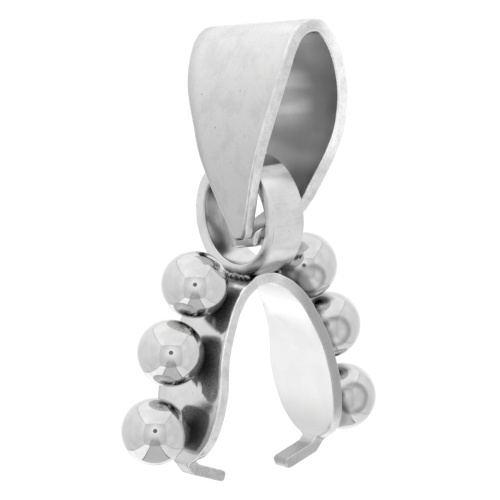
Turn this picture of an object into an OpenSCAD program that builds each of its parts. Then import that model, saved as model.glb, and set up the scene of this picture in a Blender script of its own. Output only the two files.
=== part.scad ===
// Bail finding: a folded sheet loop for a chain, and a claw that hangs from it on a flat ring.
// All sizes are in millimetres. The origin is where the chain lies, at the top inside the loop.
// X runs along the chain, the front is towards -Y, and Z is up.

/* [Loop] */
// Thickness of the loop's sheet
loop_sheet = 0.5; // [0.4:0.05:0.6]
// Top of the loop above the middle of the ring
loop_height = 6.93; // [6.0:0.1:8.0]
// Front to back over the widest part of the loop
loop_depth = 4.15; // [3.8:0.05:4.6]
// Width of the loop at its top
loop_width = 5.8; // [5.0:0.1:6.6]
// How far the front leaf's tip reaches below the middle of the ring
front_tip_drop = 0.85; // [0.7:0.05:1.0]
// Width of the front leaf near its rounded tip
front_tip_width = 0.9; // [0.7:0.05:1.1]
// Width of the back leaf's square tip, which is cut to fit inside the ring
back_tip_width = 1.6; // [1.2:0.05:1.7]
// How far the back leaf's tip shows below the front one
back_tip_show = 0.28; // [0.1:0.02:0.3]
// Tilt of the loop about the ring's axis, as it is stored
loop_roll = 12.3; // [0:0.1:20]
// How far the loop sits to the right of the ring's middle
loop_offset = 0.76; // [0.5:0.02:0.8]

/* [Ring] */
// Outer diameter of the ring
ring_d = 4.52; // [4.4:0.02:4.8]
// Thickness of the ring's band
ring_wall = 0.52; // [0.4:0.02:0.54]
// Width of the ring's band along its axis
ring_width = 1.5; // [1.3:0.05:1.7]
// Bevel on the ring's edges
ring_bevel = 0.06; // [0.04:0.01:0.1]
// Free gap between the ring and the loop
ring_gap = 0.09; // [0.06:0.01:0.12]
// How deep the ring is sunk into the top of the saddle
ring_sink = 0.22; // [0.16:0.02:0.3]

/* [Saddle] */
// Thickness of the saddle's strip
saddle_sheet = 0.42; // [0.36:0.02:0.5]
// Height of the saddle, from its top to the ends of the prongs
saddle_height = 7.84; // [7.3:0.1:8.5]
// Distance over the outer faces of the two legs
saddle_spread = 6.74; // [6.4:0.05:7.1]
// Width of the legs at their widest
leg_width = 3.52; // [3.1:0.05:3.9]
// Width of the prongs
prong_width = 0.75; // [0.6:0.05:0.9]
// Free gap between the ends of the prongs
prong_gap = 3.0; // [2.4:0.1:3.4]

/* [Balls] */
// Diameter of the balls
ball_d = 2.5; // [2.3:0.05:2.56]
// How deep the balls are sunk into the saddle
ball_sink = 0.1; // [0.06:0.01:0.12]
// Diameter of the solder pad behind each ball
pad_d = 0.8; // [0.6:0.05:1.0]
// Width of the solder under the ring
solder_width = 1.2; // [0.8:0.05:1.4]
// How far the solder stands out past the ring's rims
solder_lip = 0.12; // [0.06:0.02:0.2]

/* [Hidden] */
$fn = 64;

ring_r = ring_d / 2;
bore_r = ring_r - ring_wall;
ring_half = ring_width / 2;
saddle_top = -(ring_r - ring_sink);
// Longer than any piece, for outlines that are cut right through
span = loop_height + saddle_spread;

// Middle of the front leaf's wall where it runs straight down in front of the ring
leaf_y = -(ring_half + ring_gap + loop_sheet / 2);
// Depth between the middles of the front and the back wall
wall_depth = loop_depth - loop_sheet;
// Middle of the wall at the top of the loop
wall_top = loop_height - loop_sheet / 2;
// Where the loop is highest, as a share of its depth
crown_share = 0.632;
crown_y = leaf_y + crown_share * wall_depth;

// Where the chain lies, seen from the middle of the ring
hang_x = loop_offset * cos(loop_roll) - (loop_height - loop_sheet) * sin(loop_roll);
hang_y = crown_y;
hang_z = loop_offset * sin(loop_roll) + (loop_height - loop_sheet) * cos(loop_roll);

// Front leaf, from its straight part up to the crown: shares of the depth and of the height
front_shares = [
    [0.000, 0.060], [0.000, 0.190], [0.018, 0.315], [0.054, 0.420], [0.112, 0.532],
    [0.170, 0.644], [0.222, 0.734], [0.283, 0.816], [0.349, 0.887], [0.434, 0.951],
    [0.529, 0.989]
];
// Back leaf, from the crown down to where it turns in behind the ring
back_shares = [
    [0.735, 0.990], [0.815, 0.950], [0.885, 0.884], [0.932, 0.810], [0.965, 0.734],
    [0.988, 0.650], [1.000, 0.562], [0.997, 0.487], [0.979, 0.412], [0.940, 0.337],
    [0.885, 0.262], [0.815, 0.187], [0.749, 0.120], [0.680, 0.058]
];
// Half widths of the leaves, as shares of the loop's half width, against shares of the height
front_widths = [
    [0.045, 0.270], [0.125, 0.348], [0.271, 0.500], [0.391, 0.620], [0.514, 0.725],
    [0.620, 0.820], [0.698, 0.883], [0.778, 0.934], [0.856, 0.960], [0.957, 0.985],
    [1.020, 1.003]
];
back_widths = [
    [-0.020, 0.345], [0.046, 0.385], [0.125, 0.452], [0.271, 0.604], [0.391, 0.720],
    [0.514, 0.810], [0.620, 0.886], [0.698, 0.920], [0.778, 0.950], [0.856, 0.966],
    [0.957, 0.985], [1.020, 1.003]
];

// Saddle, from the top to the bend above the prong: shares of the half spread and of the height
saddle_shares = [
    [0.000, 0.000], [0.120, 0.004], [0.215, 0.022], [0.385, 0.065], [0.576, 0.156],
    [0.775, 0.327], [0.855, 0.479], [0.922, 0.620], [0.978, 0.727], [1.000, 0.796],
    [0.975, 0.849], [0.895, 0.888]
];
// Half widths of the legs, as shares of the widest, against shares of the height
leg_widths = [
    [-0.059, 0.460], [0.000, 0.480], [0.044, 0.580], [0.098, 0.645], [0.162, 0.716],
    [0.344, 0.869], [0.499, 0.991], [0.566, 1.000], [0.642, 0.966], [0.740, 0.852],
    [0.818, 0.625], [0.859, 0.370]
];
// Where the balls touch the leg: shares of the way along the saddle's stations
ball_stations = [0.329, 0.471, 0.714];
// How deep each ball is sunk, as shares of the common depth; the lowest stands off on its pad
ball_sinks = [0.9, 1.3, -0.7];

// A smooth line through a list of points, with a few steps between each pair
function curve_point(a, b, c, d, t) =
    0.5 * (2 * b + (c - a) * t + (2 * a - 5 * b + 4 * c - d) * t * t
    + (3 * b - a - 3 * c + d) * t * t * t);
function curve_at(p, i, t) =
    curve_point(p[max(i - 1, 0)], p[i], p[min(i + 1, len(p) - 1)], p[min(i + 2, len(p) - 1)], t);
function curve(p, steps) = [
    for (i = [0 : len(p) - 2]) for (k = [0 : steps - 1]) curve_at(p, i, k / steps),
    p[len(p) - 1]
];
function unit(v) = v / norm(v);
function left_of(v) = [-v[1], v[0]];
function side_at(p, i) = left_of(unit(p[min(i + 1, len(p) - 1)] - p[max(i - 1, 0)]));
function shifted(p, d) = [for (i = [0 : len(p) - 1]) p[i] + d * side_at(p, i)];
function reversed(p) = [for (i = [len(p) - 1 : -1 : 0]) p[i]];
// The outline of a strip of even thickness along a line
function strip(p, t) = concat(shifted(p, t / 2), reversed(shifted(p, -t / 2)));

// Shares turned into lengths
function loop_line(s) = [for (v = s) [leaf_y + v[0] * wall_depth, v[1] * wall_top]];
function loop_side(s) = [for (v = s) [v[1] * loop_width / 2, v[0] * wall_top]];
saddle_half = (saddle_spread - saddle_sheet) / 2;
saddle_mid_top = saddle_top - saddle_sheet / 2;
function saddle_line(s) = [for (v = s) [v[0] * saddle_half, saddle_mid_top - v[1] * saddle_height]];
function leg_side(s) = [for (v = s) [v[1] * leg_width / 2, saddle_top - v[0] * saddle_height]];

crown = [crown_y, wall_top];
front_line = concat([[leaf_y, -front_tip_drop]], curve(concat(loop_line(front_shares), [crown]), 3));
back_curve = curve(concat([crown], loop_line(back_shares)), 3);

// The back leaf's tip: it slopes down through the ring and ends in a short upright plate
plate_y = leaf_y + loop_sheet - 0.03;
plate_top = -0.34 * front_tip_drop - loop_sheet * 0.9;
plate_end = -front_tip_drop - back_tip_show;
turn_y = ring_half + ring_gap + loop_sheet * 0.55;
back_line = concat(back_curve, [
    [turn_y + 0.10, 0.075], [turn_y - 0.08, -0.055], [turn_y - 0.30, -0.150],
    [plate_y + 0.16, plate_top + 0.08], [plate_y + 0.04, plate_top - 0.02],
    [plate_y, plate_top - 0.14], [plate_y, plate_end]
]);

prong_end = [prong_gap / 2, saddle_top - saddle_height + saddle_sheet / 2];
leg_curve = curve(saddle_line(saddle_shares), 3);
leg_line = concat(leg_curve, [prong_end]);
saddle_path = concat(
    reversed([for (p = leg_line) [-p[0], p[1]]]),
    [for (i = [1 : len(leg_line) - 1]) leg_line[i]]
);

function mirrored(side) = concat(side, reversed([for (p = side) [-p[0], p[1]]]));

// Stands a front view outline up, so that it is drawn in X and Z and runs from y0 to y1
module stand_front(y0, y1) {
    translate([0, y1, 0])
        rotate([90, 0, 0])
            linear_extrude(y1 - y0)
                children();
}

// Stands a side view outline up, so that it is drawn in Y and Z and runs from x0 to x1
module stand_side(x0, x1) {
    translate([x0, 0, 0])
        rotate([90, 0, 90])
            linear_extrude(x1 - x0)
                children();
}

module in_row() {
    translate([-hang_x, -hang_y, -hang_z])
        children();
}

module front_outline() {
    tip_r = front_tip_width / 2;
    side = curve(loop_side(front_widths), 2);
    translate([loop_offset, 0])
        union() {
            polygon(mirrored(concat([[tip_r, -front_tip_drop + tip_r]], side)));
            translate([0, -front_tip_drop + tip_r])
                circle(r = tip_r);
        }
}

module back_outline() {
    side = curve(loop_side(back_widths), 2);
    translate([loop_offset, 0])
        polygon(mirrored(side));
}

module front_leaf() {
    intersection() {
        stand_side(-span, span)
            polygon(strip(front_line, loop_sheet));
        stand_front(-span, crown_y)
            front_outline();
    }
}

// The back leaf behind the ring
module back_leaf() {
    intersection() {
        stand_side(-span, span)
            polygon(strip(back_line, loop_sheet));
        stand_front(ring_half + ring_gap, span)
            back_outline();
    }
}

// The back leaf's tip, cut to clear the ring's bore
module back_tip() {
    intersection() {
        stand_side(loop_offset - back_tip_width / 2, loop_offset + back_tip_width / 2)
            polygon(strip(back_line, loop_sheet));
        stand_front(-span, turn_y + 0.05)
            circle(r = bore_r - ring_gap);
    }
}

module bail_loop() {
    color([0.80, 0.80, 0.79])
        in_row()
            rotate([0, -loop_roll, 0])
                union() {
                    front_leaf();
                    back_leaf();
                    back_tip();
                }
}

module ring() {
    rotate([90, 0, 0])
        rotate_extrude()
            polygon([
                [bore_r, -ring_half + ring_bevel], [bore_r + ring_bevel, -ring_half],
                [ring_r - ring_bevel, -ring_half], [ring_r, -ring_half + ring_bevel],
                [ring_r, ring_half - ring_bevel], [ring_r - ring_bevel, ring_half],
                [bore_r + ring_bevel, ring_half], [bore_r, ring_half - ring_bevel]
            ]);
}

module saddle_outline() {
    side = curve(leg_side(leg_widths), 2);
    low = saddle_top - 1.2 * saddle_height;
    polygon(mirrored(concat(side, [
        [prong_width / 2, saddle_top - 0.880 * saddle_height], [prong_width / 2, low]
    ])));
}

module saddle() {
    intersection() {
        stand_side(-span, span)
            polygon(strip(saddle_path, saddle_sheet));
        stand_front(-span, span)
            saddle_outline();
    }
}

// A ball on each leg at each station, square to the strip, with its solder pad
module balls() {
    last = len(leg_curve) - 1;
    for (k = [0 : len(ball_stations) - 1]) {
        i = floor(ball_stations[k] * last);
        t = ball_stations[k] * last - i;
        foot = leg_curve[i] * (1 - t) + leg_curve[i + 1] * t;
        out = unit(side_at(leg_curve, i) * (1 - t) + side_at(leg_curve, i + 1) * t);
        reach = saddle_sheet / 2 + ball_d / 2 - ball_sink * ball_sinks[k];
        for (m = [0, 1])
            mirror([0, m, 0]) {
                translate([0, foot[0] + out[0] * reach, foot[1] + out[1] * reach])
                    sphere(d = ball_d);
                translate([0, foot[0], foot[1]])
                    rotate([atan2(-out[0], out[1]), 0, 0])
                        cylinder(h = ball_d / 2, d = pad_d);
            }
    }
}

// Pool of solder under the ring, standing out a little past its two rims
module solder() {
    reach = ring_half + solder_lip;
    translate([-solder_width / 2, -reach, saddle_top - 0.30])
        cube([solder_width, 2 * reach, 0.22]);
}

module claw() {
    color([0.86, 0.86, 0.85])
        in_row()
            union() {
                ring();
                saddle();
                balls();
                solder();
            }
}

bail_loop();
claw();
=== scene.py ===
import math

import bmesh
import bpy
from mathutils import Matrix, Vector


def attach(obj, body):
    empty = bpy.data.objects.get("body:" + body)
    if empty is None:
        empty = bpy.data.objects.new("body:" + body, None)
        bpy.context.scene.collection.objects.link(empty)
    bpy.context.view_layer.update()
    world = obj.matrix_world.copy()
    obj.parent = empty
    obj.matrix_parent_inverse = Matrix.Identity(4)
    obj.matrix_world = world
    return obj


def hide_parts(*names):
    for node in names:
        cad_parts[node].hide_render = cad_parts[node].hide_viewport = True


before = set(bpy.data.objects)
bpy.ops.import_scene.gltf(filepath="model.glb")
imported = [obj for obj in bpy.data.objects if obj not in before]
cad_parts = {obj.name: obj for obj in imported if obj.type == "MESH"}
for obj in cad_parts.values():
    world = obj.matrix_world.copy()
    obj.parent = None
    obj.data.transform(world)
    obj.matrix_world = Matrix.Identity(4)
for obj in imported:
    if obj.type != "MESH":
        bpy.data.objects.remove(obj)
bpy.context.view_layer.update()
scene = bpy.context.scene
mm = 0.001
tableSteps = 4

# millimetres from the middle of the ring; the two lines, the crown and the widths are shares of the sizes
loopValues = {
    "sheet": 0.5, "height": 6.93, "depth": 4.15, "width": 5.8, "roll": 12.3, "offset": 0.76, "ringGap": 0.09,
    "frontTipDrop": 0.85, "frontTipWidth": 0.9, "backTipWidth": 1.6, "backTipShow": 0.28, "edgeRound": 0.11,
    # how finely the sheet is divided
    "steps": 7, "columns": 2, "rowGap": 0.085, "tipAngles": (20, 42, 66, 90), "tipShare": 4,
    # the far side is fuller, and the fold's far end is a little higher
    "shoulder": 0.15, "shoulderRise": (0.05, 0.75), "shoulderFall": (0.86, 0.14),
    "lift": 0.15, "liftRise": (-2.6, 1.9),
    # the tail narrows to pass through the ring, and ends in a plate behind the front tip
    "tailTurn": 0.55, "tailPath": [(0.10, 0.075), (-0.08, -0.055), (-0.30, -0.150)], "tailEnd": (0.16, 0.08),
    "tailFrom": 0.77, "tailNarrow": (-0.32, 0.34),
    "boreReach": 1.65, "boreRise": 0.22, "boreHigh": 1.25, "boreLeast": 0.1,
    "plateInto": 0.03, "plateDrop": 0.34, "plateBelow": 0.9, "plateCorner": 0.02, "plateShare": 0.94,
    "plateRows": 3,
    "frontLine": [
        (0.000, 0.060), (0.000, 0.190), (0.018, 0.315), (0.054, 0.420), (0.112, 0.532), (0.170, 0.644),
        (0.222, 0.734), (0.283, 0.816), (0.349, 0.887), (0.434, 0.951), (0.529, 0.989)],
    "crown": (0.632, 1.000),
    "backLine": [
        (0.735, 0.990), (0.815, 0.950), (0.885, 0.884), (0.932, 0.810), (0.965, 0.734), (0.988, 0.650),
        (1.000, 0.562), (0.997, 0.487), (0.979, 0.412), (0.940, 0.337), (0.885, 0.262), (0.815, 0.187),
        (0.749, 0.120), (0.680, 0.058)],
    "frontWidths": [
        (0.045, 0.270), (0.125, 0.348), (0.271, 0.500), (0.391, 0.620), (0.514, 0.725), (0.620, 0.820),
        (0.698, 0.883), (0.778, 0.934), (0.856, 0.960), (0.957, 0.985), (1.020, 1.003)],
    "backWidths": [
        (-0.020, 0.345), (0.046, 0.385), (0.125, 0.452), (0.271, 0.604), (0.391, 0.720), (0.514, 0.810),
        (0.620, 0.886), (0.698, 0.920), (0.778, 0.950), (0.856, 0.966), (0.957, 0.985), (1.020, 1.003)],
}
ringValues = {
    "outer": 2.26, "bore": 1.74, "width": 1.5, "edgeRound": 0.07, "turns": 160, "merge": 0.001, "sharp": 1,
}

leafY = -(ringValues["width"] / 2 + loopValues["ringGap"] + loopValues["sheet"] / 2)
leafDepth = loopValues["depth"] - loopValues["sheet"]
loopTurn = Matrix.Rotation(math.radians(-loopValues["roll"]), 4, "Y")
hangPoint = loopTurn @ Vector((loopValues["offset"], leafY + loopValues["crown"][0] * leafDepth,
                               loopValues["height"] - loopValues["sheet"]))
toRow = Matrix.Scale(mm, 4) @ Matrix.Translation(-hangPoint)


# lines and widths

def smoothLine(points, steps):
    found = []
    last = len(points) - 1
    for i in range(last):
        a, b, c, d = (Vector(points[max(0, min(last, j))]) for j in (i - 1, i, i + 1, i + 2))
        for k in range(steps):
            t = k / steps
            found.append(0.5 * (2 * b + (c - a) * t + (2 * a - 5 * b + 4 * c - d) * t * t
                                + (3 * b - a - 3 * c + d) * t ** 3))
    return found + [Vector(points[last])]


def widthAt(table, share):
    line = smoothLine(table, tableSteps)
    if share <= line[0].x:
        return line[0].y
    for a, b in zip(line, line[1:]):
        if share <= b.x:
            return a.y + (b.y - a.y) * (share - a.x) / (b.x - a.x)
    return line[-1].y


def ease(value, start, span):
    t = max(0.0, min(1.0, (value - start) / span))
    return t * t * (3 - 2 * t)


def sideOf(line, i):
    ahead = line[min(i + 1, len(line) - 1)] - line[max(i - 1, 0)]
    ahead.normalize()
    return Vector((-ahead.y, ahead.x))


# a flat grid bent along a line in Y and Z, with its own left and right edge on each row
def bentSheet(line, edges, shares, columns, arch, turn):
    bm = bmesh.new()
    rows = len(line) - 1
    bmesh.ops.create_grid(bm, x_segments=columns, y_segments=rows, size=1)
    acrossShare = bm.verts.layers.float.new("across")
    alongShare = bm.verts.layers.float.new("along")
    rimDistance = bm.verts.layers.float.new("rim")
    for v in bm.verts:
        i = round((v.co.y + 1) / 2 * rows)
        across = v.co.x
        left, right = edges[i]
        v[acrossShare] = (across + 1) / 2
        v[alongShare] = shares[i]
        v[rimDistance] = (1 - abs(across)) * (right - left) / 2
        middle = line[i] - sideOf(line, i) * arch[i] * across * across
        v.co = (left + (right - left) * (across + 1) / 2, middle.x, middle.y)
    bm.transform(toRow @ turn)
    return bm


def finishPiece(name, bm, body, material):
    mesh = bpy.data.meshes.new(name)
    for f in bm.faces:
        f.smooth = True
    bm.to_mesh(mesh)
    bm.free()
    piece = bpy.data.objects.new(name, mesh)
    scene.collection.objects.link(piece)
    piece.data.materials.append(material)
    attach(piece, body)
    return piece


def evenNormals(piece):
    even = piece.modifiers.new("even", "WEIGHTED_NORMAL")
    even.keep_sharp = False


wallValues = {"segments": 3, "sharp": 50}


# the sheet's outer face keeps the first material; the inner face, the cut edge and its rounding get others
def addWall(piece, v, inner):
    for material in (inner, cutEdge, roundedCorner):
        piece.data.materials.append(material)
    wall = piece.modifiers.new("wall", "SOLIDIFY")
    wall.thickness = v["sheet"] * mm
    wall.offset = 0
    wall.use_even_offset = True
    wall.material_offset = 1
    wall.material_offset_rim = 2
    soften = piece.modifiers.new("edges", "BEVEL")
    soften.width = v["edgeRound"] * mm
    soften.segments = wallValues["segments"]
    soften.limit_method = "ANGLE"
    soften.angle_limit = math.radians(wallValues["sharp"])
    soften.material = 3
    evenNormals(piece)


# shader maths

class Wire:
    def __init__(self, maker, socket):
        self.maker = maker
        self.socket = socket

    def maths(self, operation, *values):
        return self.maker.node("ShaderNodeMath", {"operation": operation}, dict(enumerate(values)))

    def __add__(self, other):
        return self.maths("ADD", self, other)

    __radd__ = __add__

    def __mul__(self, other):
        return self.maths("MULTIPLY", self, other)

    __rmul__ = __mul__

    def __sub__(self, other):
        return self.maths("SUBTRACT", self, other)

    def __rsub__(self, other):
        return self.maths("SUBTRACT", other, self)

    def __abs__(self):
        return self.maths("ABSOLUTE", self)

    def sign(self):
        return self.maths("SIGN", self)

    def clipped(self, low, high):
        return self.maker.node("ShaderNodeClamp", {}, {"Value": self, "Min": low, "Max": high})

    def above(self, low, high):
        return self.maker.node("ShaderNodeMapRange", {"interpolation_type": "SMOOTHSTEP"},
                               {"Value": self, "From Min": low, "From Max": high})

    def below(self, low, high):
        return 1 - self.above(low, high)

    def between(self, rise, fall):
        return self.above(*rise) * self.below(*fall)

    # noise runs from 0 to 1, and this puts its middle at 0
    def centred(self):
        return self - 0.5


class Maker:
    def __init__(self, name):
        self.material = bpy.data.materials.new(name)
        self.material.use_nodes = True
        self.tree = self.material.node_tree
        self.shader = self.tree.nodes["Principled BSDF"]

    def node(self, kind, settings=None, values=None, out=0):
        made = self.tree.nodes.new(kind)
        for key, value in (settings or {}).items():
            setattr(made, key, value)
        for key, value in (values or {}).items():
            if isinstance(value, Wire):
                self.tree.links.new(value.socket, made.inputs[key])
            else:
                made.inputs[key].default_value = value
        return Wire(self, made.outputs[out])

    # the object's own coordinates, in metres
    def place(self):
        return self.node("ShaderNodeTexCoord", out=3)

    def noise(self, place, scale, detail, roughness=0.5):
        return self.node("ShaderNodeTexNoise", {}, {
            "Vector": place, "Scale": scale, "Detail": detail, "Roughness": roughness})

    def stretched(self, place, scale, turn=(0, 0, 0)):
        return self.node("ShaderNodeMapping", {}, {"Vector": place, "Rotation": turn, "Scale": scale})

    def grey(self, tone, blue=None):
        return self.node("ShaderNodeCombineColor", {}, {0: tone, 1: tone, 2: blue or tone})

    # a share or a distance written on the mesh
    def drawn(self, name):
        return self.node("ShaderNodeAttribute", {"attribute_name": name}, out=2)

    def parts(self, place):
        return [self.node("ShaderNodeSeparateXYZ", {}, {"Vector": place}, out=k) for k in range(3)]

    def feed(self, socket, wire):
        self.tree.links.new(wire.socket, self.shader.inputs[socket])


# what all the silver shares: its noises, its pits and its bump
grainValues = {
    "mottleDetail": 5, "mottleRoughness": 0.6, "fineScale": 14, "fineDetail": 3, "fineRoughness": 0.7,
    "scratchDetail": 3, "scratchRoughness": 0.75, "pit": (0.05, 0.13), "pitted": (0.48, 0.60),
    "shade": (0.3, 0.7), "pitRough": 0.2, "pitDepth": 0.8, "bumpDistance": 0.00001,
}


# silver, with patterns in millimetres on the piece itself; tarnish and painted light and shade
# give a stain and a dullness
def makeSilver(name, look, tarnishAndPaintedLight=None):
    g = grainValues
    maker = Maker(name)
    scaled = maker.stretched(maker.place(), [1 / mm] * 3)
    mottle = maker.noise(scaled, look["mottleScale"], g["mottleDetail"], g["mottleRoughness"])
    fine = maker.noise(scaled, g["fineScale"], g["fineDetail"], g["fineRoughness"])
    scratch = maker.noise(maker.stretched(scaled, look["scratchStretch"], look["scratchTurn"]),
                          look["scratchScale"], g["scratchDetail"], g["scratchRoughness"])
    pits = maker.node("ShaderNodeTexVoronoi", {"feature": "F1"},
                      {"Vector": scaled, "Scale": look["speckScale"]})
    speck = pits.below(*g["pit"]) * mottle.above(*g["pitted"])
    shade = mottle.above(*g["shade"])
    tone = look["dark"] + (look["light"] - look["dark"]) * shade + fine.centred() * look["grainTone"] \
        + scratch.centred() * look["scratchTone"] - speck * look["speckDepth"]
    rough = look["rough"] + shade.centred() * look["roughSpread"] \
        + scratch.centred() * look["scratchRough"] + speck * g["pitRough"]
    # the stain darkens or lightens the tone; it holds tarnish and painted light and shade alike
    if tarnishAndPaintedLight:
        stain, dull = tarnishAndPaintedLight(maker, scaled, fine, mottle)
        tone = tone * (1 - stain)
        rough = rough + dull
    maker.feed("Base Color", maker.grey(tone, tone * look["blue"]))
    maker.feed("Roughness", rough)
    maker.shader.inputs["Metallic"].default_value = 1
    height = scratch * look["scratchHeight"] + fine * look["fineHeight"] + mottle * look["waveHeight"] \
        - speck * g["pitDepth"]
    maker.feed("Normal", maker.node("ShaderNodeBump", {}, {
        "Strength": look["bumpStrength"], "Distance": g["bumpDistance"], "Height": height}))
    return maker.material


loopLook = {
    "dark": 0.65, "light": 0.77, "blue": 0.997, "rough": 0.27, "roughSpread": 0.10,
    "grainTone": 0.10, "scratchTone": 0.12, "mottleScale": 1.1, "speckScale": 2.6, "speckDepth": 0.35,
    "scratchTurn": (0, 0.3, 0), "scratchStretch": (1, 1, 0.16), "scratchScale": 16, "scratchRough": 0.12,
    "scratchHeight": 0.5, "fineHeight": 0.5, "waveHeight": 1.2, "bumpStrength": 0.35,
}
# the loop's inner face is a darker, rougher copy of its silver, which is part of its painted shade
loopInsideLook = dict(loopLook, dark=0.60, light=0.68, rough=0.36, scratchTurn=(0, -0.215, 0),
                      scratchStretch=(0.10, 1, 1), scratchScale=1.7, scratchTone=0.02, grainTone=0.03,
                      bumpStrength=0.3, speckDepth=0.03)
edgeLook = dict(loopLook, dark=0.60, light=0.72, rough=0.20, mottleScale=2.4, grainTone=0.24, speckScale=3.4,
                speckDepth=0.25)
# the rounded corners are a brighter copy of the silver: a painted highlight along the rounded edges
cornerLook = dict(loopLook, dark=0.76, light=0.90, rough=0.14, mottleScale=3.0, grainTone=0.24,
                  scratchTone=0.06, speckDepth=0.02)
ringLook = dict(loopLook, dark=0.64, light=0.72, rough=0.21, roughSpread=0.05, scratchStretch=(1, 0.12, 1),
                scratchTurn=(0, 0, 0), scratchScale=9, bumpStrength=0.22, speckDepth=0.25)
saddleLook = dict(loopLook, dark=0.64, light=0.73, rough=0.19, roughSpread=0.05, scratchStretch=(1, 1, 0.3),
                  bumpStrength=0.2, grainTone=0.05, scratchTone=0.05, speckDepth=0.12)
# the saddle's inner face is a near-white copy of its silver: a painted reflection of the bright tent
saddleInsideLook = dict(saddleLook, dark=0.93, light=0.98, rough=0.2, speckDepth=0.0, bumpStrength=0.05)
ballLook = dict(loopLook, dark=0.61, light=0.67, rough=0.07, roughSpread=0.02, scratchRough=0.02,
                grainTone=0.03, scratchTone=0.03, bumpStrength=0.03, speckDepth=0.05, mottleScale=0.7)
solderLook = dict(loopLook, dark=0.12, light=0.46, rough=0.26, mottleScale=3.5, bumpStrength=0.9,
                  speckDepth=0.3)


# a pair is the stretch over which a stain or a painted light or shade comes or goes: in shares across and
# along the sheet here, and further down mostly in millimetres from the middle of the ring
loopDarkeningValues = {
    "nearEdge": (0.0, 0.13), "nearDepth": 0.20, "farEdge": (0.93, 1.0), "farDepth": 0.05,
    "tip": (0.05, 0.30), "tipDepth": 0.27, "cloud": (0.45, 0.72), "cloudMiddle": 0.3, "cloudDepth": 0.09,
    "dull": 0.1,
}


# darker along the long edges and down towards the tip
def loopDarkening(maker, scaled, fine, mottle):
    v = loopDarkeningValues
    across, along = maker.drawn("across"), maker.drawn("along")
    edges = across.below(*v["nearEdge"]) * v["nearDepth"] + across.above(*v["farEdge"]) * v["farDepth"]
    tip = along.below(*v["tip"]) * v["tipDepth"]
    stain = edges + tip + (mottle.above(*v["cloud"]) - v["cloudMiddle"]) * v["cloudDepth"]
    return stain, stain * v["dull"]


# where the painted reflection bands and the painted shade inside the loop come and go
smokeAndPaintedLightValues = {
    "turn": (0, -0.215, 0), "stretch": (0.13, 0.5, 0.62), "detail": 1.5, "roughness": 0.45,
    "wander": 0.10, "wanderAcross": 2, "left": (0.42, 0.82), "wide": (0.62, 0.80), "polish": 0.1,
    "light": ((0.480, 0.520), (0.605, 0.65)), "paintedReflectionTone": 0.25,
    "upper": ((0.515, 0.535), (0.555, 0.57)), "upperReflectionTone": 0.20,
    "stripe": ((0.575, 0.588), (0.596, 0.612)), "stripeReflectionTone": 0.18,
    "tail": (0.88, 0.91), "tailTone": 0.8, "plate": (0.955, 0.975), "plateDepth": 0.5,
    "ground": 0.10, "back": (0.33, 0.41), "backDepth": 0.49, "cloud": (0.35, 0.65), "cloudDepth": 0.16,
    "middle": (0.62, 0.68), "middleDepth": 0.06, "low": (0.69, 0.74), "lowDepth": 0.12,
    "near": (0.5, 0.85), "nearTone": 0.16, "crown": (0.42, 0.47), "crownDepth": 0.12,
}


# dull inside: painted reflections as soft light bands across the upper half, painted shade darker below,
# a smoky cloud, and lighter where the tail turns in
def loopSmokeAndPaintedLight(maker, scaled, fine, mottle):
    v = smokeAndPaintedLightValues
    across, along = maker.drawn("across"), maker.drawn("along")
    smoke = maker.noise(maker.stretched(scaled, v["stretch"], v["turn"]), 1, v["detail"], v["roughness"])
    wander = smoke.centred() * v["wander"]
    left = (across + wander * v["wanderAcross"]).below(*v["left"])
    wide = (across + wander * v["wanderAcross"]).below(*v["wide"])
    row = along + wander
    # painted reflections: light bands across the upper half
    light = row.between(*v["light"]) * left
    upper = row.between(*v["upper"]) * wide
    stripe = row.between(*v["stripe"]) * wide
    tail = along.above(*v["tail"]) * (1 - along.above(*v["plate"]) * v["plateDepth"])
    # painted shade: darker past the crown, lower down and on the front leaf, with a smoky cloud, and lighter
    # towards one edge
    ground = v["ground"] + along.above(*v["back"]) * v["backDepth"] \
        + smoke.above(*v["cloud"]).centred() * v["cloudDepth"] + row.above(*v["middle"]) * v["middleDepth"] \
        + row.above(*v["low"]) * v["lowDepth"] - across.above(*v["near"]) * v["nearTone"] \
        + row.below(*v["crown"]) * v["crownDepth"]
    stain = ground - light * v["paintedReflectionTone"] - upper * v["upperReflectionTone"] - stripe * v["stripeReflectionTone"] \
        - tail * v["tailTone"]
    return stain, light * -v["polish"]


def fromRing(maker, scaled):
    return [part + float(shift) for part, shift in zip(maker.parts(scaled), hangPoint)]


jointValues = {"level": -2.20, "reach": 0.26, "full": 0.01, "ragged": 0.05}


# dark solder where the ring is soldered on the saddle, with painted shade in the crevice between them
def atJoint(maker, scaled, fine):
    v = jointValues
    y, z = fromRing(maker, scaled)[1:]
    away = abs(y) - ringValues["width"] / 2
    up = z - v["level"]
    return (away * away + up * up + fine.centred() * v["ragged"]).below(v["full"], v["reach"] ** 2 * 2)


edgeMarkValues = {
    "onLoop": (-1.9, -1.6), "tip": (0.055, 0.085), "tipTone": 0.30, "tipDull": 0.42,
    "outline": (0.022, 0.036), "outlineGrain": (0.30, 0.42), "outlineDepth": 0.62,
    "cornerDepth": 0.14, "cornerGrain": 0.2, "cornerDull": 0.06,
    "leg": (0.6, 1.8), "legTop": (-2.2, -2.0), "legEnd": (-8.3, -7.2),
    "legDepth": 0.40, "legGrain": 0.3, "legCorner": 0.34,
    "back": (1.3, 2.3), "backEnd": (1.7, 2.9), "backHighlight": 0.42, "backCornerHighlight": 0.30,
}


# inside the ring the loop's cut edge is dull and light, and its rounding is dark round the tip
def inRing(maker, scaled):
    v = edgeMarkValues
    return fromRing(maker, scaled)[2].above(*v["onLoop"]) * maker.drawn("along").below(*v["tip"])


# a painted highlight makes the cut edge brighter round the back of the loop
def loopBackPaintedHighlight(maker, scaled):
    v = edgeMarkValues
    y, z = fromRing(maker, scaled)[1:]
    return y.above(*v["back"]) * z.above(*v["backEnd"])


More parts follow.
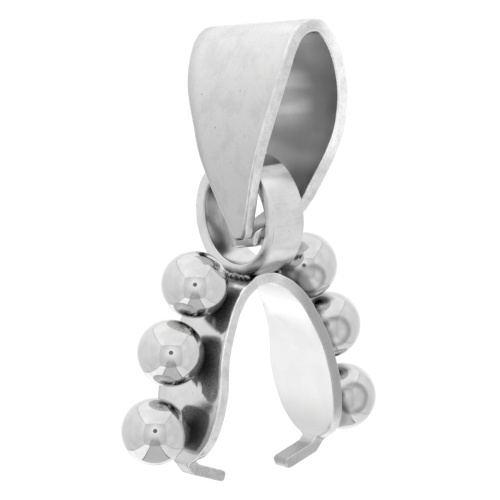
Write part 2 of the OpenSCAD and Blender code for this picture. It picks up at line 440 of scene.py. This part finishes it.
# the back leg's edge is darker down to the last ball
def backLeg(maker, scaled):
    v = edgeMarkValues
    y, z = fromRing(maker, scaled)[1:]
    return y.above(*v["leg"]) * z.below(*v["legTop"]) * z.above(*v["legEnd"])


def edgeMarksAndHighlight(maker, scaled, fine, mottle):
    v = edgeMarkValues
    stain, dull = atFoot(maker, scaled, fine)
    tip = inRing(maker, scaled)
    # the cut edge is lighter in the ring, brighter with a painted highlight at the back, darker on the back
    # leg
    stain = stain - tip * v["tipTone"] - loopBackPaintedHighlight(maker, scaled) * v["backHighlight"] \
        + backLeg(maker, scaled) * (v["legDepth"] + mottle.centred() * v["legGrain"])
    return stain, dull + tip * v["tipDull"]


def cornerMarksAndHighlight(maker, scaled, fine, mottle):
    v = edgeMarkValues
    stain, dull = atFoot(maker, scaled, fine)
    outline = inRing(maker, scaled) * maker.drawn("along").below(*v["outline"])
    onLoop = fromRing(maker, scaled)[2].above(*v["onLoop"])
    stain = stain + outline * fine.above(*v["outlineGrain"]) * v["outlineDepth"] \
        + onLoop * (v["cornerDepth"] + fine.centred() * v["cornerGrain"]) \
        + backLeg(maker, scaled) * v["legCorner"] - loopBackPaintedHighlight(maker, scaled) * v["backCornerHighlight"]
    return stain, dull + onLoop * v["cornerDull"]


footValues = {
    "low": (-9.15, -8.70), "depth": 0.30, "dull": 0.1, "prong": (-9.75, -9.35), "grain": (0.38, 0.62),
    "frontGrain": 0.26, "backFade": 0.18, "back": (-0.5, 0.5),
}


# grainy and duller where the prongs leave the legs
def atFoot(maker, scaled, fine):
    v = footValues
    y, z = fromRing(maker, scaled)[1:]
    low = z.below(*v["low"])
    grain = fine.above(*v["grain"]).centred() * (v["frontGrain"] - y.above(*v["back"]) * v["backFade"])
    return low * v["depth"] + low * z.above(*v["prong"]) * grain, low * v["dull"]


insideShadeValues = {
    "lower": (-9.0, -6.8), "lowerShade": 0.16, "lowerBack": (0, 1), "lowerBackShade": 0.14,
    "upper": (-4.4, -2.7), "upperBack": (-0.2, 1.2), "upperShade": 0.42, "cloudDepth": 0.06,
}


# painted shade darkens the legs' inner face low down, and near the ring at the back
def insideShadeAndCloud(maker, scaled, fine, mottle):
    v = insideShadeValues
    y, z = fromRing(maker, scaled)[1:]
    lower = z.below(*v["lower"]) * (v["lowerShade"] + y.above(*v["lowerBack"]) * v["lowerBackShade"])
    upper = z.above(*v["upper"]) * y.above(*v["upperBack"]) * v["upperShade"]
    stain, dull = atFoot(maker, scaled, fine)
    return stain + lower + upper + mottle.centred() * v["cloudDepth"], dull


# painted reflections of the balls, as dark patches beside each ball: middle and half size across and up,
# lean, how near the long edge they come, and where and how steeply their lower end is cut off; the slivers
# are light gaps in them
reflectionPatchValues = {
    "spots": [(0.72, -3.28, 0.72, 0.84, 0.20, 0.07, 0.62, 0.26),
              (0.80, -5.34, 0.84, 1.18, -0.16, 0.13, 0.74, 0.42),
              (0.56, -7.52, 0.84, 0.82, 0.0, 0.27, 2.0, 1.0)],
    "slivers": [(0.54, -3.68, 0.12, 0.16, -0.8), (0.60, -6.03, 0.13, 0.24, -0.6)],
    "ragged": 0.62, "raggedWide": 0.3, "raggedEnd": 0.4, "raggedSliver": 0.5, "raggedFoot": 0.3,
    "depth": 0.86, "fade": 0.08, "fadeAcross": (-0.2, 0.9), "marginSoft": (-0.03, 0.05), "rimRagged": 0.06,
    "squareSoft": (0.61, 1.13), "endSoft": 0.12, "sliverSoft": (0.4, 1.4),
    "feet": [-2.75, -4.93, -7.55], "footReach": 0.66, "footFull": 0.12, "footShade": 0.7, "jointSolderAndShade": 0.85,
    "rimLine": 0.38, "rimRise": (0.07, 0.10), "rimFall": (0.12, 0.15), "rimGrain": (0.42, 0.58),
    "most": 0.84, "grainMiddle": 0.88, "grainWide": 0.7, "grainFine": 0.9, "mostGrain": 0.86, "dull": 0.25,
}


def ballReflectionsAndShade(maker, scaled, fine, mottle):
    v = reflectionPatchValues
    x, y, z = fromRing(maker, scaled)
    near = x * y.sign() * -1
    wobble = fine.centred() * v["ragged"] + mottle.centred() * v["raggedWide"]
    rim = maker.drawn("rim") + fine.centred() * v["rimRagged"]
    stain = atJoint(maker, scaled, fine) * v["jointSolderAndShade"]
    # painted reflections of the balls on the leg
    for middle, level, halfAcross, halfUp, lean, margin, end, slope in v["spots"]:
        up = (z - level) * (1 / halfUp)
        across = (near - middle - up * lean * halfAcross) * (1 / halfAcross)
        square = across * across * across * across + up * up * up * up + wobble
        patch = square.below(*v["squareSoft"]) \
            * rim.above(margin + v["marginSoft"][0], margin + v["marginSoft"][1]) \
            * (wobble * v["raggedEnd"] - up - across * slope).below(end, end + v["endSoft"])
        stain = stain + patch * (v["depth"] - across.above(*v["fadeAcross"]) * v["fade"])
    for middle, level, halfAcross, halfUp, lean in v["slivers"]:
        up = (z - level) * (1 / halfUp)
        across = (near - middle - up * lean * halfAcross) * (1 / halfAcross)
        stain = stain * (across * across + up * up + wobble * v["raggedSliver"]).above(*v["sliverSoft"])
    # painted shade where each ball stands on the leg
    for level in v["feet"]:
        up = z - level
        foot = (x * x + up * up + wobble * v["raggedFoot"]).below(v["footFull"], v["footReach"] ** 2)
        stain = stain + foot * v["footShade"]
    line = rim.between(v["rimRise"], v["rimFall"]) * fine.above(*v["rimGrain"]) * v["rimLine"]
    grain = v["grainMiddle"] + mottle.centred() * v["grainWide"] + fine.centred() * v["grainFine"]
    patched = ((stain + line).clipped(0, v["most"]) * grain).clipped(0, v["mostGrain"])
    stain, dull = atFoot(maker, scaled, fine)
    return patched + stain, dull + patched * v["dull"]


ringShadeAndLightValues = {
    "bore": (1.79, 1.85), "stretch": (0.35, 1.5, 0.35), "scale": 1.3, "detail": 1.5,
    "ground": 0.06, "streak": (0.36, 0.60), "streakShade": 0.40, "high": (0.1, 0.8), "highShade": 0.3,
    "boreFoot": (-1.62, -1.25), "right": (0.2, 1.0), "rightFade": 0.7,
    "rim": (2.15, 2.2), "under": (-1.95, -1.10), "underShade": 0.5, "jointSolderAndShade": 0.8, "most": 0.9,
    "cap": ((1.25, 1.8), (1.99, 2.05)), "capPaintedLight": 0.42, "capTop": (1.6, 1.9), "capDull": 0.45,
    "shoulder": (0.7, 1.7), "shoulderDull": 0.20,
}


# solder and painted shade at the foot of the ring, painted shade in streaks inside it,
# and a painted light, dull band under its dark top
def ringPaintedShadeAndLight(maker, scaled, fine, mottle):
    v = ringShadeAndLightValues
    x, z = fromRing(maker, scaled)[::2]
    square = x * x + z * z
    inside = square.below(v["bore"][0] ** 2, v["bore"][1] ** 2)
    smoke = maker.noise(maker.stretched(scaled, v["stretch"]), v["scale"], v["detail"])
    # painted shade inside the bore, darker higher up, broken into streaks
    streaks = v["ground"] + smoke.above(*v["streak"]) * v["streakShade"] \
        + z.above(*v["high"]) * v["highShade"]
    streaks = streaks * z.above(*v["boreFoot"]) * (1 - x.above(*v["right"]) * v["rightFade"])
    # painted shade on the ring's outer face low down, near the saddle
    under = square.above(v["rim"][0] ** 2, v["rim"][1] ** 2) * z.below(*v["under"]) * v["underShade"]
    stain = (atJoint(maker, scaled, fine) * v["jointSolderAndShade"] + inside * streaks + under).clipped(0, v["most"])
    # painted light on the band under the ring's top
    cap = z.between(*v["cap"]) * (1 - inside)
    dull = (z.above(*v["shoulder"]) * v["shoulderDull"] + cap * z.above(*v["capTop"]) * v["capDull"]) \
        * (1 - inside)
    return stain - cap * v["capPaintedLight"], dull


ballShadeValues = {
    "ragged": 3, "rimThin": 1.6, "rimThick": 4, "foot": (0.35, 0.95), "footShade": 0.30, "besideShade": 0.62,
    "belowReflection": 0.10, "rimReflection": 0.42, "most": 0.75, "dull": 0.28,
}


# painted shade darkens the back of each ball towards its foot, which is also dull, and its sides next to its
# neighbours; on the back balls' near side a painted reflection makes a stain with a darker rim
def ballPaintedShadeAndReflection(maker, scaled, fine, mottle):
    v = ballShadeValues
    foot, beside, below = maker.drawn("foot"), maker.drawn("beside"), maker.drawn("below")
    ragged = below + below * (1 - below) * mottle.centred() * v["ragged"]
    rim = ragged * (1 - ragged) * (v["rimThin"] + mottle * v["rimThick"])
    stain = foot.above(*v["foot"]) * v["footShade"] + beside * v["besideShade"] + below * v["belowReflection"] \
        + rim.clipped(0, 1) * v["rimReflection"]
    return stain.clipped(0, v["most"]), foot * v["dull"]


loopSilver = makeSilver("loopSilver", loopLook, loopDarkening)
loopInside = makeSilver("loopInside", loopInsideLook, loopSmokeAndPaintedLight)
cutEdge = makeSilver("cutEdge", edgeLook, edgeMarksAndHighlight)
roundedCorner = makeSilver("roundedCorner", cornerLook, cornerMarksAndHighlight)
ringSilver = makeSilver("ringSilver", ringLook, ringPaintedShadeAndLight)
saddleSilver = makeSilver("saddleSilver", saddleLook, ballReflectionsAndShade)
saddleInside = makeSilver("saddleInside", saddleInsideLook, insideShadeAndCloud)
ballSilver = makeSilver("ballSilver", ballLook, ballPaintedShadeAndReflection)
solderSilver = makeSilver("solderSilver", solderLook)
print("stage: materials")


# bail loop

def foldedLine(v, turnY):
    top = v["height"] - v["sheet"] / 2
    plateY = leafY + v["sheet"] - v["plateInto"]
    plateTop = -v["plateDrop"] * v["frontTipDrop"] - v["sheet"] * v["plateBelow"]
    plateEnd = -v["frontTipDrop"] - v["backTipShow"]
    tipRound = v["frontTipWidth"] / 2
    tip = [Vector((leafY, tipRound * (1 - math.cos(math.radians(a))) - v["frontTipDrop"]))
           for a in v["tipAngles"]]
    leaves = [(leafY + a * leafDepth, b * top) for a, b in v["frontLine"] + [v["crown"]] + v["backLine"]]
    tail = [(turnY + a, b) for a, b in v["tailPath"]]
    tail.append((plateY + v["tailEnd"][0], plateTop + v["tailEnd"][1]))
    full = tip + smoothLine(leaves + tail, v["steps"])[:-1]
    frontRows = len(tip) + len(v["frontLine"]) * v["steps"]
    last = len(full) + v["tipShare"] + v["plateRows"] * v["steps"]
    line, shares = [], []
    for i, p in enumerate(full):
        if not line or (p - line[-1]).length > v["rowGap"]:
            line.append(p)
            shares.append((i + v["tipShare"]) / last)
    lastFront = sum(1 for share in shares if share < (frontRows + v["tipShare"]) / last)
    line += [Vector((plateY, plateTop - v["plateCorner"])), Vector((plateY, plateEnd))]
    shares += [v["plateShare"], 1]
    return line, shares, lastFront


def loopEdges(v, line, shares, lastFront, turnY):
    top = v["height"] - v["sheet"] / 2
    tipRound = v["frontTipWidth"] / 2
    low = -v["frontTipDrop"] + tipRound
    first = v["frontWidths"][0][0] * top
    narrow = v["backTipWidth"] / 2
    edges = []
    for i, p in enumerate(line):
        if i < lastFront:
            right = widthAt(v["frontWidths"], p.y / top) * v["width"] / 2
            if p.y < low:
                right = math.sqrt(max(0.0, tipRound ** 2 - (p.y - low) ** 2))
            elif p.y < first:
                wide = widthAt(v["frontWidths"], 0) * v["width"] / 2
                right = tipRound + (wide - tipRound) * (p.y - low) / (first - low)
            left = right + v["shoulder"] * ease(p.y / top, *v["shoulderRise"])
        else:
            wide = widthAt(v["backWidths"], p.y / top) * v["width"] / 2
            inside = ease(turnY - p.x, *v["tailNarrow"]) if shares[i] > v["tailFrom"] else 0
            high = min(abs(p.y) + v["boreRise"], v["boreHigh"])
            reach = math.sqrt(max(v["boreLeast"], v["boreReach"] ** 2 - high ** 2)) - v["offset"]
            left = wide + (narrow - wide) * inside + v["shoulder"] * ease(p.y / top, *v["shoulderFall"])
            right = wide + (min(narrow, reach) - wide) * inside
        edges.append((v["offset"] - left, v["offset"] + right))
    return edges


def makeLoop(v):
    turnY = ringValues["width"] / 2 + v["ringGap"] + v["sheet"] * v["tailTurn"]
    line, shares, lastFront = foldedLine(v, turnY)
    edges = loopEdges(v, line, shares, lastFront, turnY)
    bm = bentSheet(line, edges, shares, v["columns"], [0] * len(line), loopTurn)
    acrossShare = bm.verts.layers.float["across"]
    for vert in bm.verts:
        vert.co.z += v["lift"] * mm * (1 - vert[acrossShare]) * ease(vert.co.z / mm, *v["liftRise"])
    piece = finishPiece("bailLoop", bm, "loop", loopSilver)
    addWall(piece, v, loopInside)
    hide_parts("bail_loop")


makeLoop(loopValues)
print("stage: loop")


# ring

def makeRing(v):
    bm = bmesh.new()
    half = v["width"] / 2
    corners = [bm.verts.new((r, y, 0)) for r, y in
               ((v["bore"], -half), (v["outer"], -half), (v["outer"], half), (v["bore"], half))]
    section = [bm.edges.new((corners[i], corners[(i + 1) % 4])) for i in range(4)]
    bmesh.ops.spin(bm, geom=corners + section, cent=(0, 0, 0), axis=(0, 1, 0), angle=math.tau,
                   steps=v["turns"], use_merge=True)
    bmesh.ops.remove_doubles(bm, verts=bm.verts, dist=v["merge"])
    rims = [e for e in bm.edges if len(e.link_faces) == 2 and e.calc_face_angle() > v["sharp"]]
    bmesh.ops.bevel(bm, geom=rims, offset=v["edgeRound"], offset_type="OFFSET", segments=3, profile=0.5,
                    affect="EDGES", material=-1)
    bmesh.ops.recalc_face_normals(bm, faces=bm.faces)
    bm.transform(toRow)
    evenNormals(finishPiece("flatRing", bm, "claw", ringSilver))


makeRing(ringValues)
print("stage: ring")


# saddle and prongs

# millimetres from the middle of the ring; the line and widths are shares of the sizes
saddleValues = {
    "sheet": 0.42, "height": 7.84, "spread": 6.74, "top": -2.04, "legWidth": 3.52, "edgeRound": 0.09,
    "prongWidth": 0.75, "prongGap": 3.0, "prongFrom": (0.849, 0.035), "tipRound": 0.16, "tipThick": 0.45,
    "arch": 0.05, "archRise": (0.05, 0.2), "archFall": (0.75, 0.12),
    "steps": 7, "columns": 8, "bendRows": 5, "prongRows": 6, "tipAngles": (0, 25, 50, 90),
    "line": [
        (0.000, 0.000), (0.120, 0.004), (0.215, 0.022), (0.385, 0.065), (0.576, 0.156), (0.775, 0.327),
        (0.855, 0.479), (0.922, 0.620), (0.978, 0.727), (1.000, 0.796), (0.975, 0.849), (0.895, 0.888)],
    "widths": [
        (-0.059, 0.460), (0.000, 0.480), (0.044, 0.580), (0.098, 0.645), (0.162, 0.716), (0.344, 0.869),
        (0.499, 0.991), (0.566, 1.000), (0.642, 0.966), (0.740, 0.852), (0.818, 0.625), (0.859, 0.370)],
}


def saddleLine(v):
    half = (v["spread"] - v["sheet"]) / 2
    top = v["top"] - v["sheet"] / 2
    leg = smoothLine([(a * half, top - b * v["height"]) for a, b in v["line"]], v["steps"])
    end = Vector((v["prongGap"] / 2, v["top"] - v["height"] + v["sheet"] / 2))
    prong = [leg[-1].lerp(end, k / v["prongRows"]) for k in range(1, v["prongRows"])]
    ahead = (end - prong[-1]).normalized()
    prong += [end - ahead * v["tipRound"] * (1 - math.sin(math.radians(a))) for a in v["tipAngles"]]
    return leg, prong


# the sheet thins over the last rows, so the prongs' tips are round
def thinTips(piece, line, v):
    rows = len(line) - 1
    # read before the group is made, because a new layer moves the data
    rowOf = [round(along.value * rows) for along in piece.data.attributes["along"].data]
    thick = piece.vertex_groups.new(name="thick")
    for k, i in enumerate(rowOf):
        fromTip = (line[i] - (line[0] if i < rows / 2 else line[-1])).length / v["tipRound"]
        full = math.sqrt(max(0, 1 - (1 - min(1, fromTip)) ** 2))
        thick.add([k], v["tipThick"] + (1 - v["tipThick"]) * full, "REPLACE")
    piece.modifiers["wall"].vertex_group = "thick"


def makeSaddle(v):
    leg, prong = saddleLine(v)
    right = leg[:-v["bendRows"]] + leg[-1:] + prong
    line = [Vector((-p.x, p.y)) for p in reversed(right)] + right[1:]
    edges, arch = [], []
    for p in line:
        share = (v["top"] - p.y) / v["height"]
        wide = widthAt(v["widths"], share) * v["legWidth"] / 2
        half = wide + (v["prongWidth"] / 2 - wide) * ease(share, *v["prongFrom"])
        edges.append((-half, half))
        arch.append(v["arch"] * ease(share, *v["archRise"]) * (1 - ease(share, *v["archFall"])))
    shares = [i / (len(line) - 1) for i in range(len(line))]
    bm = bentSheet(line, edges, shares, v["columns"], arch, Matrix.Identity(4))
    piece = finishPiece("clawSaddle", bm, "claw", saddleSilver)
    addWall(piece, v, saddleInside)
    thinTips(piece, line, v)
    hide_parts("claw")


makeSaddle(saddleValues)
print("stage: saddle")


# balls, three on each leg, and the solder under them

# the stations are shares of the leg's line, and the sinks are how deep each ball sits in the solder
ballValues = {
    "radius": 1.25, "sinks": (0.09, 0.13, -0.07), "stations": (0.329, 0.471, 0.714), "segments": 96,
    # the ways point to the painted reflection on each back ball; the foot and beside rises mark painted
    # shade
    "reflectionWays": ((0.847, -0.464, -0.25), (0.90, -0.42, -0.03), (0.93, -0.34, 0.12)), "reflectionRise": (0.84, 0.13),
    "footRise": (0.3, 0.4), "besideRise": (0.84, 0.08), "inwardRise": (-0.25, 0.3), "frontBeside": 0.5,
}


# where each ball stands on the leg's line, and which way is out
def ballFeet():
    leg = saddleLine(saddleValues)[0]
    last = len(leg) - 1
    for station in ballValues["stations"]:
        at = station * last
        i = int(at)
        foot = leg[i].lerp(leg[i + 1], at - i)
        out = sideOf(leg, i).lerp(sideOf(leg, i + 1), at - i).normalized()
        yield foot, out


def makeBall(v, name, side, middle, out, stain):
    bm = bmesh.new()
    bmesh.ops.create_uvsphere(bm, u_segments=v["segments"], v_segments=v["segments"] // 2,
                              radius=v["radius"])
    footShadeShare = bm.verts.layers.float.new("foot")
    besideShadeShare = bm.verts.layers.float.new("beside")
    reflectionShare = bm.verts.layers.float.new("below")
    for vert in bm.verts:
        way = vert.co.normalized()
        inward = -way.dot(Vector((0, side * out.x, out.y)))
        between = abs(way.dot(Vector((0, -side * out.y, out.x))))
        # foot and beside carry painted shade, below a painted reflection on the back balls
        vert[footShadeShare] = ease(inward, *v["footRise"])
        vert[reflectionShare] = ease(way.dot(stain), *v["reflectionRise"]) if side > 0 else 0
        vert[besideShadeShare] = ease(between, *v["besideRise"]) * ease(inward, *v["inwardRise"]) \
            * (1 if side > 0 else v["frontBeside"])
    bm.transform(toRow @ Matrix.Translation((0, side * middle.x, middle.y)))
    finishPiece(name, bm, "claw", ballSilver)


def makeBalls(v):
    for side, word in ((-1, "front"), (1, "back")):
        for k, (foot, out) in enumerate(ballFeet()):
            middle = foot + out * (saddleValues["sheet"] / 2 + v["radius"] - v["sinks"][k])
            makeBall(v, f"{word}Ball{k + 1}", side, middle, out, Vector(v["reflectionWays"][k]).normalized())


makeBalls(ballValues)

solderValues = {
    "beads": [(-0.72, 0.15, 0.02), (-0.45, 0.19, 0.0), (-0.12, 0.16, -0.03), (0.16, 0.20, 0.0),
              (0.47, 0.17, -0.02), (0.74, 0.14, 0.03)],
    "beadShape": (1.25, 0.75, 0.7, 1), "beadLevel": -2.17, "beadOut": 0.01, "backSpread": -0.95,
    "beadDetail": 4, "padRadius": 0.44, "padThick": 0.16, "padOut": 0.03, "padSegments": 40,
}


def makeSolder(v):
    bm = bmesh.new()
    bead = Matrix.Diagonal(v["beadShape"])
    flat = Matrix.Diagonal((1, v["padThick"] / v["padRadius"], 1, 1))
    for side in (-1, 1):
        y = side * (ringValues["width"] / 2 + v["beadOut"])
        for x, radius, lift in v["beads"]:
            drop = Matrix.Translation((x * (1 if side < 0 else v["backSpread"]), y, v["beadLevel"] + lift))
            bmesh.ops.create_icosphere(bm, subdivisions=v["beadDetail"], radius=radius,
                                       matrix=drop @ bead)
        for foot, out in ballFeet():
            spot = foot + out * (saddleValues["sheet"] / 2 + v["padOut"])
            turn = Matrix.Rotation(math.atan2(out.y, side * out.x), 4, "X")
            pad = Matrix.Translation((0, side * spot.x, spot.y)) @ turn @ flat
            bmesh.ops.create_uvsphere(bm, u_segments=v["padSegments"], v_segments=v["padSegments"] // 2,
                                      radius=v["padRadius"], matrix=pad)
    bm.transform(toRow)
    finishPiece("solderBeads", bm, "claw", solderSilver)


makeSolder(solderValues)
print("stage: balls and solder")


# studio: a pale floor, and a white tent that only the polished silver sees

# metres, as the object's own coordinates are
glowValues = {
    "height": (-0.11, 0.10), "clothScale": 18, "clothDetail": 3,
    "flapEdge": (-0.003, 0.003), "flapFade": (0.02, 0.08),
}


# strength runs from low to high along an axis, with the soft folds of a cloth tent; the front side also
# has a bright halo round the lens and a darker flap hanging below it
def makeGlow(name, low, high=None, folds=0.0, axis=(0, 0, 1), halo=None, flap=None):
    g = glowValues
    maker = Maker(name)
    high = low if high is None else high
    place = maker.place()
    height = maker.node("ShaderNodeVectorMath", {"operation": "DOT_PRODUCT"}, {0: place, 1: axis}, out=1)
    cloth = maker.noise(place, g["clothScale"], g["clothDetail"])
    tone = low + (high - low) * height.above(*g["height"]) + cloth.centred() * folds
    if halo:
        middle, reach, depth = halo
        far = maker.node("ShaderNodeVectorMath", {"operation": "DISTANCE"}, {0: place, 1: middle}, out=1)
        tone = tone + far.below(*reach) * depth
    if flap:
        axis, spread, depth = flap
        drop = middle.z - maker.parts(place)[2]
        aside = maker.node("ShaderNodeVectorMath", {"operation": "DOT_PRODUCT"}, {0: place, 1: axis}, out=1)
        wedge = (abs(aside) - drop * spread).below(*g["flapEdge"])
        tone = tone - wedge * drop.above(*g["flapFade"]) * depth
    glow = maker.node("ShaderNodeEmission", {}, {"Color": maker.grey(tone)})
    maker.tree.links.new(glow.socket, maker.tree.nodes["Material Output"].inputs[0])
    return maker.material


# low and high tone of each side, as the polished balls show them; sizes in millimetres, angles in degrees,
# and the halo's reach in metres
tentValues = {
    "half": 90, "near": 120, "level": -8, "turn": 50, "folds": 0.42,
    "seam": 2.2, "seamTone": 0.62, "seamWider": 4, "seamBehind": 3,
    "sides": {"front": (0.78, 0.94), "left": (0.86, 1.12), "right": (0.94, 0.98), "top": (1.12, 1.28),
              "bottom": (1.00, 1.36), "back": (1.08, 1.08)},
    "strip": 34, "stripTone": 0.72, "stripFolds": 0.1, "stripSeam": 3.2, "stripSeamTone": 0.22,
    "stripBack": 50, "stripShort": 7, "stripSeamShort": 4, "stripRise": 1, "stripOver": 0.5,
    "lens": 15, "lensTone": 0.20, "lensIn": 4, "lensRise": 12, "lensSides": 48,
    "halo": 0.30, "haloReach": (0.012, 0.075), "flap": (0.42, 0.26),
}


def makeWall(name, material, size, matrix, seenByCamera=True, sides=0):
    bm = bmesh.new()
    if sides:
        bmesh.ops.create_circle(bm, cap_ends=True, segments=sides, radius=1)
    else:
        bmesh.ops.create_grid(bm, x_segments=1, y_segments=1, size=1)
    bm.transform(Matrix.Scale(mm, 4) @ matrix @ Matrix.Diagonal((size[0], size[1], 1, 1)))
    mesh = bpy.data.meshes.new(name)
    bm.to_mesh(mesh)
    bm.free()
    mesh.materials.append(material)
    wall = bpy.data.objects.new(name, mesh)
    scene.collection.objects.link(wall)
    if not seenByCamera:
        wall.visible_camera = wall.visible_diffuse = wall.visible_shadow = False
    return wall


def makeTent(v):
    turn = Matrix.Translation((0, 0, v["level"])) @ Matrix.Rotation(math.radians(v["turn"]), 4, "Z")
    h, n = v["half"], v["near"]
    flat = Matrix.Identity(4)
    upright, sideways = Matrix.Rotation(math.pi / 2, 4, "X"), Matrix.Rotation(math.pi / 2, 4, "Y")
    lens = Vector((0, -n + v["lensIn"], math.tan(math.radians(v["lensRise"])) * (n - v["lensIn"])))
    right = turn.to_3x3() @ Vector((1, 0, 0))
    halo = (turn @ lens * mm, v["haloReach"], v["halo"])
    flap = (right, *v["flap"])
    seams = makeGlow("tentSeam", v["seamTone"])
    for name, way, facing, size in (
            ("front", Vector((0, -n, 0)), upright, (h, h)), ("back", Vector((0, n, 0)), upright, (h, h)),
            ("left", Vector((-h, 0, 0)), sideways, (h, n)), ("right", Vector((h, 0, 0)), sideways, (h, n)),
            ("top", Vector((0, 0, h)), flat, (h, n)), ("bottom", Vector((0, 0, -h)), flat, (h, n))):
        low, high = v["sides"][name]
        axis = -right if name in ("bottom", "top") else (0, 0, 1)
        extras = (halo, flap) if name == "front" else ()
        glow = makeGlow("tent" + name.capitalize(), low, high, v["folds"], axis, *extras)
        makeWall("tent" + name.capitalize(), glow, [s - v["seam"] for s in size],
                 turn @ Matrix.Translation(way) @ facing, False)
        behind = way + way.normalized() * v["seamBehind"]
        makeWall("seam" + name.capitalize(), seams, [s + v["seamWider"] for s in size],
                 turn @ Matrix.Translation(behind) @ facing, False)
    half = (n + v["stripBack"]) / 2
    strip = turn @ Matrix.Translation((0, half - n, v["stripRise"] - h))
    makeWall("tentStripEdge", makeGlow("tentStripEdge", v["stripSeamTone"]),
             (v["strip"] + v["stripSeam"], half - v["stripSeamShort"]), strip, False)
    makeWall("tentStrip", makeGlow("tentStrip", v["stripTone"], None, v["stripFolds"]),
             (v["strip"], half - v["stripShort"]), strip @ Matrix.Translation((0, 0, v["stripOver"])), False)
    makeWall("tentLens", makeGlow("tentLens", v["lensTone"]), (v["lens"], v["lens"]),
             turn @ Matrix.Translation(lens) @ upright, False, v["lensSides"])


makeTent(tentValues)

floorValues = {
    "tone": 0.95, "grain": 0.01, "scale": 40, "detail": 2, "rough": 0.9, "half": 6000, "level": -400,
}


def makeFloor(v):
    maker = Maker("paleFloor")
    grain = maker.noise(maker.place(), v["scale"], v["detail"])
    maker.feed("Base Color", maker.grey(v["tone"] + grain.centred() * v["grain"]))
    maker.shader.inputs["Roughness"].default_value = v["rough"]
    floor = makeWall("floor", maker.material, (v["half"], v["half"]), Matrix.Translation((0, 0, v["level"])))
    floor.visible_glossy = False


makeFloor(floorValues)

worldStrength = 1.1
world = bpy.data.worlds.new("studio")
scene.world = world
world.use_nodes = True
world.node_tree.nodes["Background"].inputs["Color"].default_value = (1, 1, 1, 1)
world.node_tree.nodes["Background"].inputs["Strength"].default_value = worldStrength
scene.view_settings.view_transform = "Standard"

# angles in degrees, lengths in millimetres, and the clip distances in metres
cameraValues = {
    "azimuth": 50, "elevation": 12, "distance": 300, "frame": 18.52, "right": 0.011, "up": -1.296,
    "sensor": 36, "clip": (0.01, 50),
}


def makeCamera(v):
    a, e = math.radians(v["azimuth"]), math.radians(v["elevation"])
    right = Vector((math.cos(a), math.sin(a), 0))
    up = Vector((-math.sin(a) * math.sin(e), math.cos(a) * math.sin(e), math.cos(e)))
    back = Vector((math.sin(a) * math.cos(e), -math.cos(a) * math.cos(e), math.sin(e)))
    aim = -hangPoint + right * v["right"] + up * v["up"]
    data = bpy.data.cameras.new("camera")
    data.sensor_width = v["sensor"]
    data.lens = v["sensor"] * v["distance"] / v["frame"]
    data.clip_start, data.clip_end = v["clip"]
    camera = bpy.data.objects.new("camera", data)
    camera.location = (aim + back * v["distance"]) * mm
    camera.rotation_euler = (-back).to_track_quat("-Z", "Y").to_euler()
    scene.collection.objects.link(camera)
    scene.camera = camera


makeCamera(cameraValues)
print("stage: studio and camera")
